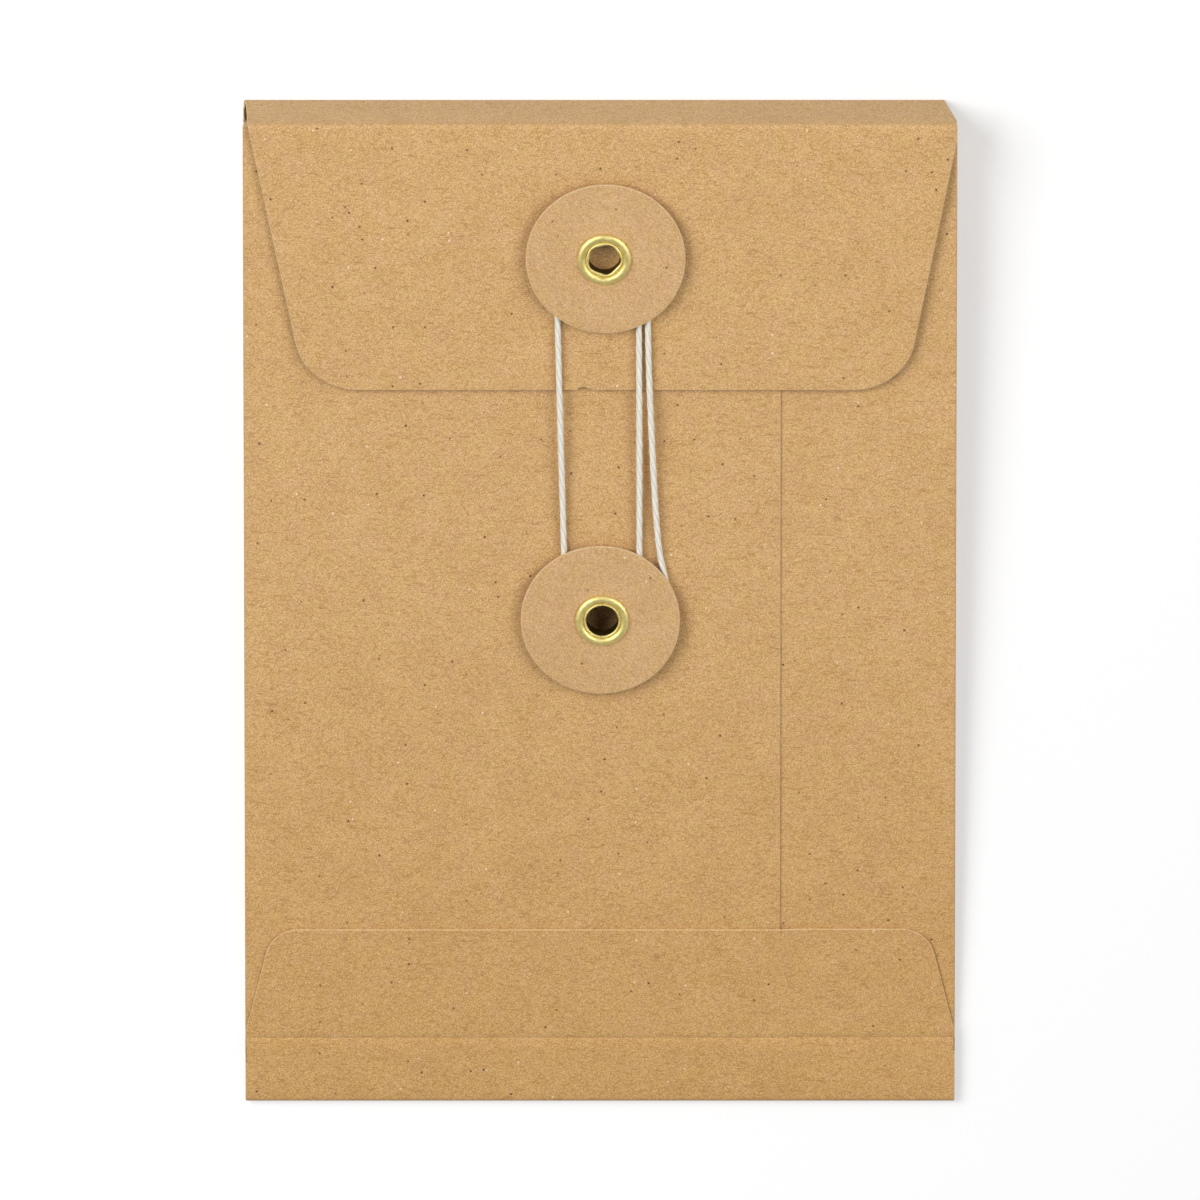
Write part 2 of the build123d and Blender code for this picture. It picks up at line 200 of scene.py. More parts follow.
def paper(name, pinker, yellower, fibre, speck, fleck, contrast, turn=0.0):
    """Pulp paper: grain and cloud between a dark and a light tone, then fibres, specks and flecks."""
    material, tree, output = new_material(name)
    place = add(tree, "TexCoord", {}).outputs["Object"]
    mm = add(tree, "Mapping", {"Vector": place, "Scale": (1 / MM, 1 / MM, 1 / MM)}).outputs[0]
    turned = add(tree, "Mapping", {"Vector": mm, "Rotation": (0, 0, turn)}).outputs[0]
    tilted = add(tree, "Mapping", {"Vector": turned, "Rotation": OFF_PLANE}).outputs[0]
    grain = add(tree, "TexNoise", {"Vector": tilted, "Scale": 1 / GRAIN, "Detail": 1.0, "Roughness": 0.6})
    cloud = add(tree, "TexNoise", {"Vector": tilted, "Scale": 1 / CLOUD, "Detail": 4.0, "Roughness": 0.65})
    tone = add(tree, "Mix", {0: 0.14, 2: grain.outputs["Fac"], 3: cloud.outputs["Fac"]})
    spread = add(tree, "MapRange", {"Value": tone.outputs[0], 1: 0.5 - contrast, 2: 0.5 + contrast})
    lean = add(tree, "TexNoise", {"Vector": tilted, "Scale": 1 / LEAN, "Detail": 2.0})
    leaning = add(tree, "MapRange", {"Value": lean.outputs["Fac"], 1: 0.3, 2: 0.7})
    tints = []
    for dark, middle, light in (pinker, yellower):
        ramp = add(tree, "ValToRGB", {"Fac": spread.outputs[0]})
        ramp.color_ramp.elements[0].color = linear(dark)
        ramp.color_ramp.elements[1].color = linear(light)
        ramp.color_ramp.elements.new(0.5).color = linear(middle)
        tints.append(ramp.outputs[0])
    colour = add(tree, "Mix", {0: leaning.outputs[0], 6: tints[0], 7: tints[1]}, data_type="RGBA").outputs[2]
    for across, strength in FIBRE_WAYS:
        along = add(tree, "Mapping", {"Vector": turned, "Rotation": (0, 0, radians(across))}).outputs[0]
        along = add(tree, "Mapping", {
            "Vector": along, "Scale": (1 / FIBRE_LONG, 1 / FIBRE_THICK, 1 / FIBRE_THICK),
            "Rotation": OFF_PLANE}).outputs[0]
        strand = add(tree, "TexNoise", {"Vector": along, "Scale": 1.0, "Detail": 1.0, "Distortion": 1.0})
        strand = add(tree, "MapRange", {"Value": strand.outputs["Fac"], 1: 0.58, 2: 0.7, 3: 0.0, 4: strength})
        colour = add(tree, "Mix", {0: strand.outputs[0], 6: colour, 7: linear(fibre)},
                     data_type="RGBA").outputs[2]
    marks = ((9.0, 0.55, 0.5, 0.2, speck), (2.4, 0.19, 0.36, 0.95, speck), (31.0, 0.4, 0.7, 0.85, speck),
             (2.7, 0.16, 0.3, 0.85, fleck))
    for spacing, radius, part, strength, ink in marks:
        mask = spots(tree, turned, spacing, radius, part)
        mask = add(tree, "Math", {0: mask, 1: strength}, operation="MULTIPLY")
        colour = add(tree, "Mix", {0: mask.outputs[0], 6: colour, 7: linear(ink)},
                     data_type="RGBA").outputs[2]
    # Painted shade: each sheet is multiplied a little darker and more brown towards the bottom, where less
    # light falls.
    down = add(tree, "SeparateXYZ", {0: mm})
    painted_shade = add(tree, "MapRange", {"Value": down.outputs[1], 1: PAINTED_SHADE_FROM_Y, 2: PAINTED_SHADE_TO_Y})
    colour = add(tree, "Mix", {0: painted_shade.outputs[0], 6: colour, 7: linear(PAINTED_SHADE)},
                 data_type="RGBA", blend_type="MULTIPLY").outputs[2]
    relief = add(tree, "Bump", {"Strength": 0.3, "Distance": 0.03e-3, "Height": tone.outputs[0]})
    shader = add(tree, "BsdfPrincipled", {
        "Base Color": colour, "Roughness": 0.72, "IOR": 1.45, "Specular IOR Level": 0.5,
        "Sheen Weight": 0.15, "Sheen Roughness": 0.5, "Normal": relief.outputs[0],
    })
    tree.links.new(shader.outputs[0], output.inputs["Surface"])
    return material


kraft = paper(
    "kraft_paper_machine_finished", ("#b28757", "#d6ab76", "#f0c996"), ("#b0884e", "#d5ab6e", "#efcb8e"),
    "#b07c40", "#5f3f20", "#f8ead0", 0.2)
# The cut edge: the paler fibres of the cut, painted paler still as a highlight where the edge catches the
# light.
kraft_edge_and_highlight = paper(
    "kraft_paper_cut_edge", ("#c5a074", "#e0bf94", "#f2dab8"), ("#c3a16c", "#dfc08b", "#f1dcb0"),
    "#c39c66", "#8f6a3f", "#f8eed8", 0.3)
board = paper(
    "kraft_paperboard_die_cut", ("#b58b60", "#d5ab7c", "#ecc99d"), ("#b38c56", "#d3ab72", "#eaca93"),
    "#b88a52", "#76532d", "#f4e4c8", 0.22, turn=radians(35))
print("paper materials", [m.name for m in (kraft, kraft_edge_and_highlight, board)])

# %% [markdown]
# The eyelets are thin brass, drawn and rolled, then barrel polished: yellow, bright and a little uneven,
# with faint marks from the setting tool. Inside the barrel the brass is duller, and painted dark brown as a
# painted shade for the deep bore. The string is soft cotton, three plies twisted together, matt and
# off-white, with fine yarn lines that run along each ply, and grey in the grooves between the plies as a
# painted shade. Dried white glue is clear enough to look straw.

# %% Brass, cotton and glue
def brass_sheet(name, dark, light, smoothest, roughest):
    """Rolled yellow brass: a metal whose roughness and height vary by faint tool marks."""
    material, tree, output = new_material(name)
    place = add(tree, "TexCoord", {}).outputs["Object"]
    mm = add(tree, "Mapping", {"Vector": place, "Scale": (1 / MM, 1 / MM, 1 / MM)}).outputs[0]
    marks = add(tree, "TexNoise", {"Vector": mm, "Scale": 1.6, "Detail": 4.0, "Roughness": 0.6})
    worn = add(tree, "MapRange", {"Value": marks.outputs["Fac"], 1: 0.3, 2: 0.7, 3: smoothest, 4: roughest})
    tint = add(tree, "ValToRGB", {"Fac": marks.outputs["Fac"]})
    tint.color_ramp.elements[0].position = 0.3
    tint.color_ramp.elements[0].color = linear(dark)
    tint.color_ramp.elements[1].position = 0.7
    tint.color_ramp.elements[1].color = linear(light)
    relief = add(tree, "Bump", {"Strength": 0.25, "Distance": 0.02e-3, "Height": marks.outputs["Fac"]})
    shader = add(tree, "BsdfPrincipled", {
        "Base Color": tint.outputs[0], "Metallic": 1.0, "Roughness": worn.outputs[0],
        "Normal": relief.outputs[0],
    })
    tree.links.new(shader.outputs[0], output.inputs["Surface"])
    return material


def cotton_ply():
    """Soft cotton: yarn lines along the plies from the string's own map, and a painted shade of grey in the
    grooves between them.
    """
    material, tree, output = new_material("cotton_string_twisted")
    lie = add(tree, "UVMap", {}, uv_map="lie").outputs[0]
    yarn_map = add(tree, "Mapping", {"Vector": lie, "Scale": (15.0, 1 / 1.2e-3, 1.0)})
    yarn = add(tree, "TexNoise", {
        "Vector": yarn_map.outputs[0], "Scale": 1.0, "Detail": 2.0, "Roughness": 0.6})
    around = add(tree, "SeparateXYZ", {0: lie})
    ply = add(tree, "Math", {0: around.outputs[0], 1: 3.0}, operation="MULTIPLY")
    ply = add(tree, "Math", {0: ply.outputs[0]}, operation="FRACT")
    ply = add(tree, "Math", {0: ply.outputs[0], 1: 0.5}, operation="SUBTRACT")
    ply = add(tree, "Math", {0: ply.outputs[0]}, operation="ABSOLUTE")
    # Painted shade: the grooves between the plies are mixed towards grey, where the plies shade each other.
    groove = add(tree, "MapRange", {"Value": ply.outputs[0], 1: 0.3, 2: 0.5, 3: 0.0, 4: 0.4})
    ramp = add(tree, "ValToRGB", {"Fac": yarn.outputs["Fac"]})
    ramp.color_ramp.elements[0].position = 0.3
    ramp.color_ramp.elements[0].color = linear("#e6e1d2")
    ramp.color_ramp.elements[1].position = 0.7
    ramp.color_ramp.elements[1].color = linear("#f8f5ea")
    colour = add(tree, "Mix", {0: groove.outputs[0], 6: ramp.outputs[0], 7: linear("#a9a495")},
                 data_type="RGBA")
    relief = add(tree, "Bump", {"Strength": 0.3, "Distance": 0.03e-3, "Height": yarn.outputs["Fac"]})
    shader = add(tree, "BsdfPrincipled", {
        "Base Color": colour.outputs[2], "Roughness": 0.9, "Specular IOR Level": 0.2,
        "Sheen Weight": 0.2, "Sheen Roughness": 0.5, "Normal": relief.outputs[0],
    })
    tree.links.new(shader.outputs[0], output.inputs["Surface"])
    return material


def dried_glue():
    """White glue gone clear: straw coloured, smooth, with slow thick and thin places."""
    material, tree, output = new_material("white_glue_dried")
    place = add(tree, "TexCoord", {}).outputs["Object"]
    mm = add(tree, "Mapping", {"Vector": place, "Scale": (1 / MM, 1 / MM, 1 / MM)}).outputs[0]
    thick = add(tree, "TexNoise", {"Vector": mm, "Scale": 0.4, "Detail": 3.0})
    tint = add(tree, "ValToRGB", {"Fac": thick.outputs["Fac"]})
    tint.color_ramp.elements[0].color = linear("#bfa06a")
    tint.color_ramp.elements[1].color = linear("#d9c08d")
    shader = add(tree, "BsdfPrincipled", {"Base Color": tint.outputs[0], "Roughness": 0.35, "IOR": 1.47})
    tree.links.new(shader.outputs[0], output.inputs["Surface"])
    return material


brass = brass_sheet("brass_rolled_polished", "#f4dc82", "#fff4b0", 0.44, 0.56)
# Painted shade: the inside of the barrel is given dark brown brass, for the shade deep in the bore.
bore_brass_painted_shade = brass_sheet("brass_drawn_dull", "#4a3c1a", "#6b5728", 0.55, 0.7)
cotton, glue = cotton_ply(), dried_glue()
frame["nodes"]["seam_glue"].data.materials.clear()
frame["nodes"]["seam_glue"].data.materials.append(glue)
print("other materials", [m.name for m in (brass, bore_brass_painted_shade, cotton, glue)])

# %% [markdown]
# An operator acts on all that is selected, so each piece starts by leaving edit mode and deselecting
# everything, and faces and edges are then picked in code by their place. These few helpers are the mouse
# hand of this lesson: start a piece, pick, move what is picked, apply a modifier and smooth the result.

# %% Helpers for modelling
CUT_EDGE = 0.14
HOLE_R = 2.85
PUNCH_DEPTH = 8.0
RIPPLE_DEPTH = 0.1
CUT_WITHIN = 1e-7


def start():
    """Leave edit mode with nothing selected."""
    if bpy.context.object and bpy.context.object.mode != "OBJECT":
        bpy.ops.object.mode_set(mode="OBJECT")
    bpy.ops.object.select_all(action="DESELECT")


def only(piece):
    """Leave edit mode with one piece selected and active."""
    start()
    piece.select_set(True)
    bpy.context.view_layer.objects.active = piece


def name_new(name, *materials):
    """Name the object that an operator has just added, and give it its materials."""
    made = bpy.context.object
    made.name = made.data.name = name
    for material in materials:
        made.data.materials.append(material)
    return made


def flat_sheet(name, x0, x1, y0, y1, z):
    """A kraft plane from x0 to x1 and y0 to y1 at height z, in millimetres, left in edit mode."""
    start()
    bpy.ops.mesh.primitive_plane_add(size=1, location=((x0 + x1) / 2 * MM, (y0 + y1) / 2 * MM, z * MM))
    sheet = name_new(name, kraft, kraft_edge_and_highlight)
    sheet.scale = ((x1 - x0) * MM, (y1 - y0) * MM, 1)
    bpy.ops.object.transform_apply(location=True, rotation=True, scale=True)
    bpy.ops.object.mode_set(mode="EDIT")
    return sheet


def lay(piece, matrix):
    """Put a piece where a matrix says and apply that to its mesh."""
    only(piece)
    piece.matrix_world = matrix
    bpy.ops.object.transform_apply(location=True, rotation=True, scale=True)


def pick(kind, test):
    """Select the verts, edges or faces whose middle passes the test, which gets it in millimetres."""
    bpy.ops.mesh.select_mode(type={"verts": "VERT", "edges": "EDGE", "faces": "FACE"}[kind])
    bpy.ops.mesh.select_all(action="DESELECT")
    piece = bpy.context.edit_object.data
    mesh = bmesh.from_edit_mesh(piece)
    picked = 0
    for item in getattr(mesh, kind):
        corners = [item] if kind == "verts" else item.verts
        middle = sum((v.co for v in corners), Vector()) / len(corners) / MM
        if test(middle):
            item.select_set(True)
            picked += 1
    mesh.select_flush_mode()
    bmesh.update_edit_mesh(piece)
    return picked


def move(x, y, z):
    """Move what is picked, in millimetres."""
    bpy.ops.transform.translate(value=(x * MM, y * MM, z * MM))


def cut_across(places, axis):
    """Cut the whole sheet with bisecting planes at places along an axis, 0 for x and 1 for y."""
    for at in places:
        bpy.ops.mesh.select_all(action="SELECT")
        point, normal = [0, 0, 0], [0, 0, 0]
        point[axis], normal[axis] = at * MM, 1
        bpy.ops.mesh.bisect(plane_co=point, plane_no=normal, threshold=CUT_WITHIN)


def apply(piece, kind, **settings):
    """Add a modifier, give it its settings and apply it."""
    only(piece)
    bpy.ops.object.modifier_add(type=kind)
    modifier = piece.modifiers[-1]
    for name, value in settings.items():
        setattr(modifier, name, value)
    bpy.ops.object.modifier_apply(modifier=modifier.name)


def thicken(piece, joins=None):
    """Give a sheet the paper's thickness, half to each side, and blunt its cut edges in the second material.

    The faces that pass the test joins meet another piece of the same sheet, so they are left open.
    """
    apply(piece, "SOLIDIFY", thickness=PAPER * MM, offset=0, use_even_offset=True,
          use_rim=True, material_offset_rim=1)
    if joins:
        bpy.ops.object.mode_set(mode="EDIT")
        pick("faces", joins)
        bpy.ops.mesh.delete(type="FACE")
        bpy.ops.object.mode_set(mode="OBJECT")
    # The bevelled cut edges take the second material: the paler cut edge with its painted highlight.
    apply(piece, "BEVEL", width=CUT_EDGE * MM, segments=1, limit_method="ANGLE", angle_limit=radians(60),
          material=1, use_clamp_overlap=False)


def smooth(piece, angle=40):
    """Shade a piece smooth, with edges sharper than the angle left crisp, and print its size."""
    only(piece)
    bpy.ops.object.shade_smooth_by_angle(angle=radians(angle))
    low = [round(min(v.co[i] for v in piece.data.vertices) / MM, 2) for i in range(3)]
    high = [round(max(v.co[i] for v in piece.data.vertices) / MM, 2) for i in range(3)]
    print(piece.name, "faces", len(piece.data.polygons), "from", low, "to", high)


def punch(piece, x, s):
    """Punch a round hole for an eyelet's barrel square through the front."""
    start()
    bpy.ops.mesh.primitive_cylinder_add(vertices=64, radius=HOLE_R * MM, depth=PUNCH_DEPTH * MM)
    cutter = name_new("punch")
    lay(cutter, front_in_metres(x, s, 0))
    apply(piece, "BOOLEAN", operation="DIFFERENCE", object=cutter, solver="EXACT")
    bpy.data.objects.remove(cutter)


def share(a, b, t):
    """The value at t of the way from a to b."""
    return a + (b - a) * t


def limit(value):
    """The value, kept between 0 and 1."""
    return min(1, max(0, value))


def ripple(x, s, seed):
    """How far the paper sinks below its flat place, in slow waves."""
    wave = noise.noise((x / 26 + seed, s / 34, 0.3)) + 0.5 * noise.noise((x / 12, s / 15 + seed, 1.7))
    return -RIPPLE_DEPTH * limit(0.45 + 0.6 * wave)


# %% [markdown]
# The pocket is one sheet. Seen from below it runs from the hidden lap on the right, round the right side
# pleat, across the back, round the left pleat and over the front to the seam. A grid is added as that flat
# sheet, and each row of it is then folded to the pocket's section at its place: nearly shut at the bottom,
# spread at the mouth. A pleat whose angle changes along its length can't be had by extruding, so this is one
# of the few pieces where code puts the points in place. Each crease is a small arc, because paper that is
# 0.3 mm thick can't fold sharper. A thumb has pinched one short crease at the right edge.

# %% The pocket's folded section
HALF_W = 57.0
SEAM_X = 28.9
LAP_X = 16.9
PANEL_LOW_S, PANEL_HIGH_S = 11.7, 168.85
LEFT_MIDDLE_W, RIGHT_MIDDLE_W = -0.15, -0.53
BACK_LOW_Y, BACK_HIGH_Y = -84.15, 81.0
PLEAT_LOW_Y, PLEAT_HIGH_Y = -73.3, 82.5
PLEAT_LEG = 5.75
CREASE_R = 0.17
CREASE_STEPS = 6
GUSSET_GAP = 0.05
GLUED_S = 32.0
RIPPLE_IN_S, RIPPLE_IN_X = 25, 12
PINCH_FROM, PINCH_TO = Vector((54.9, 123.0)), Vector((57.2, 124.0))
PINCH_DEPTH, PINCH_WIDTH = 0.17, 0.17
PINCH_ROW_S, PINCH_ROW_STEP = 122.5, 0.15
crease_x = HALF_W - PAPER / 2 - CREASE_R


def pinch(x, s):
    """How far the pinched crease sinks at a place on the front."""
    run = PINCH_TO - PINCH_FROM
    t = limit((Vector((x, s)) - PINCH_FROM).dot(run) / run.length_squared)
    away = (Vector((x, s)) - PINCH_FROM - t * run).length
    return -PINCH_DEPTH * sin(pi * limit(0.15 + t)) * exp(-(away / PINCH_WIDTH) ** 2)


def panel_place(x, t, w):
    """A place on a front panel, with its ripple, which fades out where the bottom flap is glued."""
    s = share(PANEL_LOW_S, PANEL_HIGH_S, t)
    free = limit((s - GLUED_S) / RIPPLE_IN_S) * limit((HALF_W - abs(x)) / RIPPLE_IN_X)
    return on_front(x, s, w + free * ripple(x, s, 0) + pinch(x, s))


def arc(middle_x, middle_z, y, turn_from, turn_to):
    """The points of one small crease, round its middle."""
    turns = [share(turn_from, turn_to, i / CREASE_STEPS) for i in range(CREASE_STEPS + 1)]
    return [(middle_x + CREASE_R * cos(turn), y, middle_z + CREASE_R * sin(turn)) for turn in turns]


def pleat(side, t, w):
    """The pleat on one side, from the front's crease to the back's, as places in the world."""
    front = on_front(0, share(PANEL_LOW_S, PANEL_HIGH_S, t), w)
    nose_y = share(PLEAT_LOW_Y, PLEAT_HIGH_Y, t)
    back_y = share(BACK_LOW_Y, BACK_HIGH_Y, t)
    back_z = PAPER / 2
    half_gap = (front.z - back_z) / 2 - PAPER / 2 - GUSSET_GAP
    nose_x = HALF_W - sqrt(PLEAT_LEG**2 - half_gap**2) + PAPER / 2
    middle_z = (front.z + back_z) / 2
    run, drop = crease_x - nose_x - CREASE_R, front.z - CREASE_R - middle_z
    lean = atan2(drop, run) - asin(2 * CREASE_R / hypot(run, drop))
    line = (arc(crease_x, front.z - CREASE_R, front.y, pi / 2, lean - pi / 2)
            + arc(nose_x + CREASE_R, middle_z, nose_y, pi / 2 + lean, 3 * pi / 2 - lean)
            + arc(crease_x, back_z + CREASE_R, back_y, pi / 2 - lean, -pi / 2))
    return [Vector((side * x, y, z)) for x, y, z in line]


RIGHT_COLUMNS = [LAP_X, 25, 33, 41, 48, 53.5, 54.5, 55.0, 55.5, 56.0, 56.4]


def pocket_line(t):
    """The whole sheet's line across the pocket, from the lap to the seam."""
    right = [panel_place(x, t, RIGHT_MIDDLE_W) for x in RIGHT_COLUMNS]
    back_y = share(BACK_LOW_Y, BACK_HIGH_Y, t)
    back = [Vector((share(crease_x, -crease_x, i / 12), back_y, PAPER / 2)) for i in range(1, 12)]
    left = [panel_place(share(-crease_x, SEAM_X, i / 12), t, LEFT_MIDDLE_W) for i in range(1, 13)]
    return (right + pleat(1, t, RIGHT_MIDDLE_W) + back
            + pleat(-1, t, LEFT_MIDDLE_W)[::-1] + left)


# %% Fold the pocket
even_rows = [i / 32 for i in range(33)]
pinch_s = [PINCH_ROW_S + PINCH_ROW_STEP * i for i in range(14)]
pinch_rows = [(s - PANEL_LOW_S) / (PANEL_HIGH_S - PANEL_LOW_S) for s in pinch_s]
pocket_lines = [pocket_line(t) for t in sorted(even_rows + pinch_rows)]
columns, rows = len(pocket_lines[0]), len(pocket_lines)
start()
bpy.ops.mesh.primitive_grid_add(x_subdivisions=columns - 1, y_subdivisions=rows - 1, size=1)
pocket = name_new("pocket_sheet", kraft, kraft_edge_and_highlight)
for vert in pocket.data.vertices:
    column = round((vert.co.x + 0.5) * (columns - 1))
    row = round((vert.co.y + 0.5) * (rows - 1))
    vert.co = pocket_lines[row][column] * MM
thicken(pocket)
punch(pocket, LOWER_X, LOWER_S)
smooth(pocket)
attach(pocket, "pocket")
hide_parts("back_panel", "left_front_panel", "right_front_panel", "left_gusset", "right_gusset")

# %% [markdown]
# The bottom is closed by a flap that folds up over the front and is glued down. On the real sheet it is the
# back panel that goes on round the bottom fold, so its base is spun half round that fold. The free end has
# slanted sides and round corners: a plane with its corners moved in, and then bevelled as vertices. The
# score line across its base is a shallow groove. The glue stops short of the free edge, so the last
# millimetre of paper curls up a little and shades the paper under it. Cuts near the edge let it do so.
# Beyond the seam the paper under the flap lies one sheet lower, so the flap is pressed down there, and the
# film of glue goes down with it.

# %% Base and bottom flap
BOTTOM_MIDDLE_W = 0.23
BEND_Y, BEND_Z, BEND_R = -84.15, 0.85, 0.85
BASE_S, BOTTOM_FLAP_S = 11.2, 30.1
BOTTOM_TAPER, BOTTOM_SHOULDER_S, BOTTOM_CORNER = 4.35, 12.2, 4.1
SCORE_HALF, SCORE_DEPTH = 0.28, 0.14
CURL_HIGH, CURL_REACH, CURL_CORNER_R = 0.06, 1.5, 5.2
PRESS_DEPTH, PRESS_RUN, PRESS_FROM_S = 0.3, 3.0, 4.0
PRESS_ROWS = (PRESS_FROM_S, 6.5, 9.0)
CURL_ROWS = (0.35, 0.8, CURL_REACH, 1.9)
CURL_IN = 4
GLUE_X, GLUE_MARGIN, GLUE_W, GLUE_T = 47.65, 2.0, 0.04, 0.06
press_columns = [SEAM_X + PRESS_RUN * i / 4 for i in range(5)]
side_run = Vector((BOTTOM_TAPER, BOTTOM_SHOULDER_S - BOTTOM_FLAP_S)).orthogonal().normalized()


def pressed(x, s):
    """How far the glued flap is pressed down beyond the seam, where the paper under it lies lower."""
    part = limit((x - SEAM_X) / PRESS_RUN) * limit((s - PRESS_FROM_S) / (BASE_S - PRESS_FROM_S))
    return -PRESS_DEPTH * part**2 * (3 - 2 * part)


def to_free_edge(x, s):
    """How far a place on the bottom flap is from its free edge, round corners and all."""
    to_side = Vector((HALF_W - abs(x), BOTTOM_SHOULDER_S - s)).dot(side_run)
    to_top = BOTTOM_FLAP_S - s
    return CURL_CORNER_R - hypot(max(0, CURL_CORNER_R - to_side), max(0, CURL_CORNER_R - to_top))


bottom = flat_sheet("bottom_sheet", -HALF_W, HALF_W, BEND_R, BOTTOM_FLAP_S, BOTTOM_MIDDLE_W)
cut_across([BASE_S - SCORE_HALF, BASE_S, BASE_S + SCORE_HALF, BOTTOM_SHOULDER_S], 1)
pick("verts", lambda p: p.y > BOTTOM_FLAP_S - 0.1 and p.x < 0)
move(BOTTOM_TAPER, 0, 0)
pick("verts", lambda p: p.y > BOTTOM_FLAP_S - 0.1 and p.x > 0)
move(-BOTTOM_TAPER, 0, 0)
pick("verts", lambda p: p.y > BOTTOM_FLAP_S - 0.1)
bpy.ops.mesh.bevel(offset=BOTTOM_CORNER * MM, segments=14, affect="VERTICES")
cut_across([share(-HALF_W, HALF_W, i / 16) for i in range(1, 16)], 0)
cut_across(press_columns, 0)
cut_across(PRESS_ROWS, 1)
for inside in CURL_ROWS:
    cut_across([BOTTOM_FLAP_S - inside], 1)
    for side in (-1, 1):
        across = Vector((side * side_run.x, side_run.y, 0))
        corner = Vector((side * HALF_W, BOTTOM_SHOULDER_S, 0))
        bpy.ops.mesh.select_all(action="SELECT")
        bpy.ops.mesh.bisect(plane_co=(corner - inside * across) * MM, plane_no=across, threshold=CUT_WITHIN)
pick("verts", lambda p: abs(p.y - BASE_S) < 0.01)
move(0, 0, -SCORE_DEPTH)
bpy.ops.object.mode_set(mode="OBJECT")
for vert in bottom.data.vertices:
    place = vert.co / MM
    near = 1 - limit(to_free_edge(place.x, place.y) / CURL_REACH)
    vert.co.z += CURL_HIGH * near**2 * limit((place.y - BOTTOM_SHOULDER_S) / CURL_IN) * MM
    vert.co.z += pressed(place.x, place.y) * MM
lay(bottom, front_in_metres(0, 0, 0))
bpy.ops.object.mode_set(mode="EDIT")
lowest_y = min(v.co.y for v in bmesh.from_edit_mesh(bottom.data).verts) / MM
pick("edges", lambda p: p.y < lowest_y + 0.01)
bpy.ops.mesh.spin(steps=10, angle=slope - pi, center=(0, BEND_Y * MM, BEND_Z * MM), axis=(1, 0, 0))
bpy.ops.object.mode_set(mode="OBJECT")
thicken(bottom)
smooth(bottom)
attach(bottom, "pocket")
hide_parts("base_panel", "bottom_flap")

# %% Glue under the bottom flap
film = flat_sheet(
    "bottom_glue_film", -GLUE_X, GLUE_X, PANEL_LOW_S + GLUE_MARGIN, BOTTOM_FLAP_S - GLUE_MARGIN, GLUE_W)
cut_across(press_columns, 0)
bpy.ops.object.mode_set(mode="OBJECT")
film.data.materials.clear()
film.data.materials.append(glue)
for vert in film.data.vertices:
    vert.co.z += pressed(vert.co.x / MM, vert.co.y / MM) * MM
lay(film, front_in_metres(0, 0, 0))
apply(film, "SOLIDIFY", thickness=GLUE_T * MM, offset=0)
smooth(film)
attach(film, "pocket")
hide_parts("bottom_glue")

# %% [markdown]
# The spine is the strip that stands between the back and the flap and keeps the mouth open. It folds where
# it meets the back, and again where it meets the flap. Each fold has to bend as the flap opens, and a blended
# piece may cross only one joint, so the paper is split along the middle of the spine: the lower half goes
# with the end of the back, the upper half with the flap. Where they meet they are left open, so no edge
# shows. At the left the spine is cut short in a slight curve, and the pleat has pulled up a small lip of the
# back beside it.

# %% Back fold and the lower half of the spine
BACK_FOLD = Vector((0, 84.85, 0.15))
FRONT_FOLD = Vector((0, 83.95, 10.1094))
SPINE_MIDDLE = (BACK_FOLD + FRONT_FOLD) / 2
SPINE_LEFT, SPINE_RIGHT = -56.38, 56.0
SPINE_END = {1.0: -56.68, 2.0: -56.55, 3.4: -56.45}
CORNER_CUT, CORNER_EASE = 2.0, 0.15
LIP_X, LIP_OUT_X, LIP_HIGH = -56.62, -56.85, 1.0
LIP_ROWS = (82.2, 83.8)
CORNER_ROW = 81.3
SPINE_FROM_Y, SPINE_FROM_Z = 84.0, 4.0
BACK_FOLD_ROUND = 0.35


def at_join(p):
    """Whether a place is on the line where the two halves of the spine meet."""
    return abs((p - SPINE_MIDDLE).dot((FRONT_FOLD - BACK_FOLD).normalized())) < 0.001


back_fold = flat_sheet("back_fold_sheet", -HALF_W, HALF_W, BACK_HIGH_Y, BACK_FOLD.y, BACK_FOLD.z)
cut_across([CORNER_ROW], 1)
pick("verts", lambda p: p.y > SPINE_FROM_Y and p.x > 0)
move(-CORNER_CUT, 0, 0)
pick("verts", lambda p: p.y > SPINE_FROM_Y and p.x < 0)
move(CORNER_EASE, 0, 0)
pick("edges", lambda p: p.y > BACK_FOLD.y - 0.05)
rise = SPINE_MIDDLE - BACK_FOLD
bpy.ops.mesh.extrude_region_move(TRANSFORM_OT_translate={"value": rise * MM})
pick("verts", lambda p: p.z > SPINE_FROM_Z and p.x < 0)
move(SPINE_LEFT + HALF_W - CORNER_EASE, 0, 0)
pick("verts", lambda p: p.z > SPINE_FROM_Z and p.x > 0)
move(SPINE_RIGHT - HALF_W + CORNER_CUT, 0, 0)
cut_across(LIP_ROWS, 1)
pick("faces", lambda p: p.z < 0.2)
bpy.ops.mesh.bisect(plane_co=(LIP_X * MM, 0, 0), plane_no=(1, 0, 0), threshold=CUT_WITHIN)
cut_across([share(-HALF_W, HALF_W, i / 12) for i in range(1, 12)], 0)
cut_across(list(SPINE_END), 2)
pick("edges", lambda p: (p - Vector((p.x, BACK_FOLD.y, BACK_FOLD.z))).length < 0.01)
bpy.ops.mesh.bevel(offset=BACK_FOLD_ROUND * MM, segments=5, affect="EDGES")
bpy.ops.object.mode_set(mode="OBJECT")
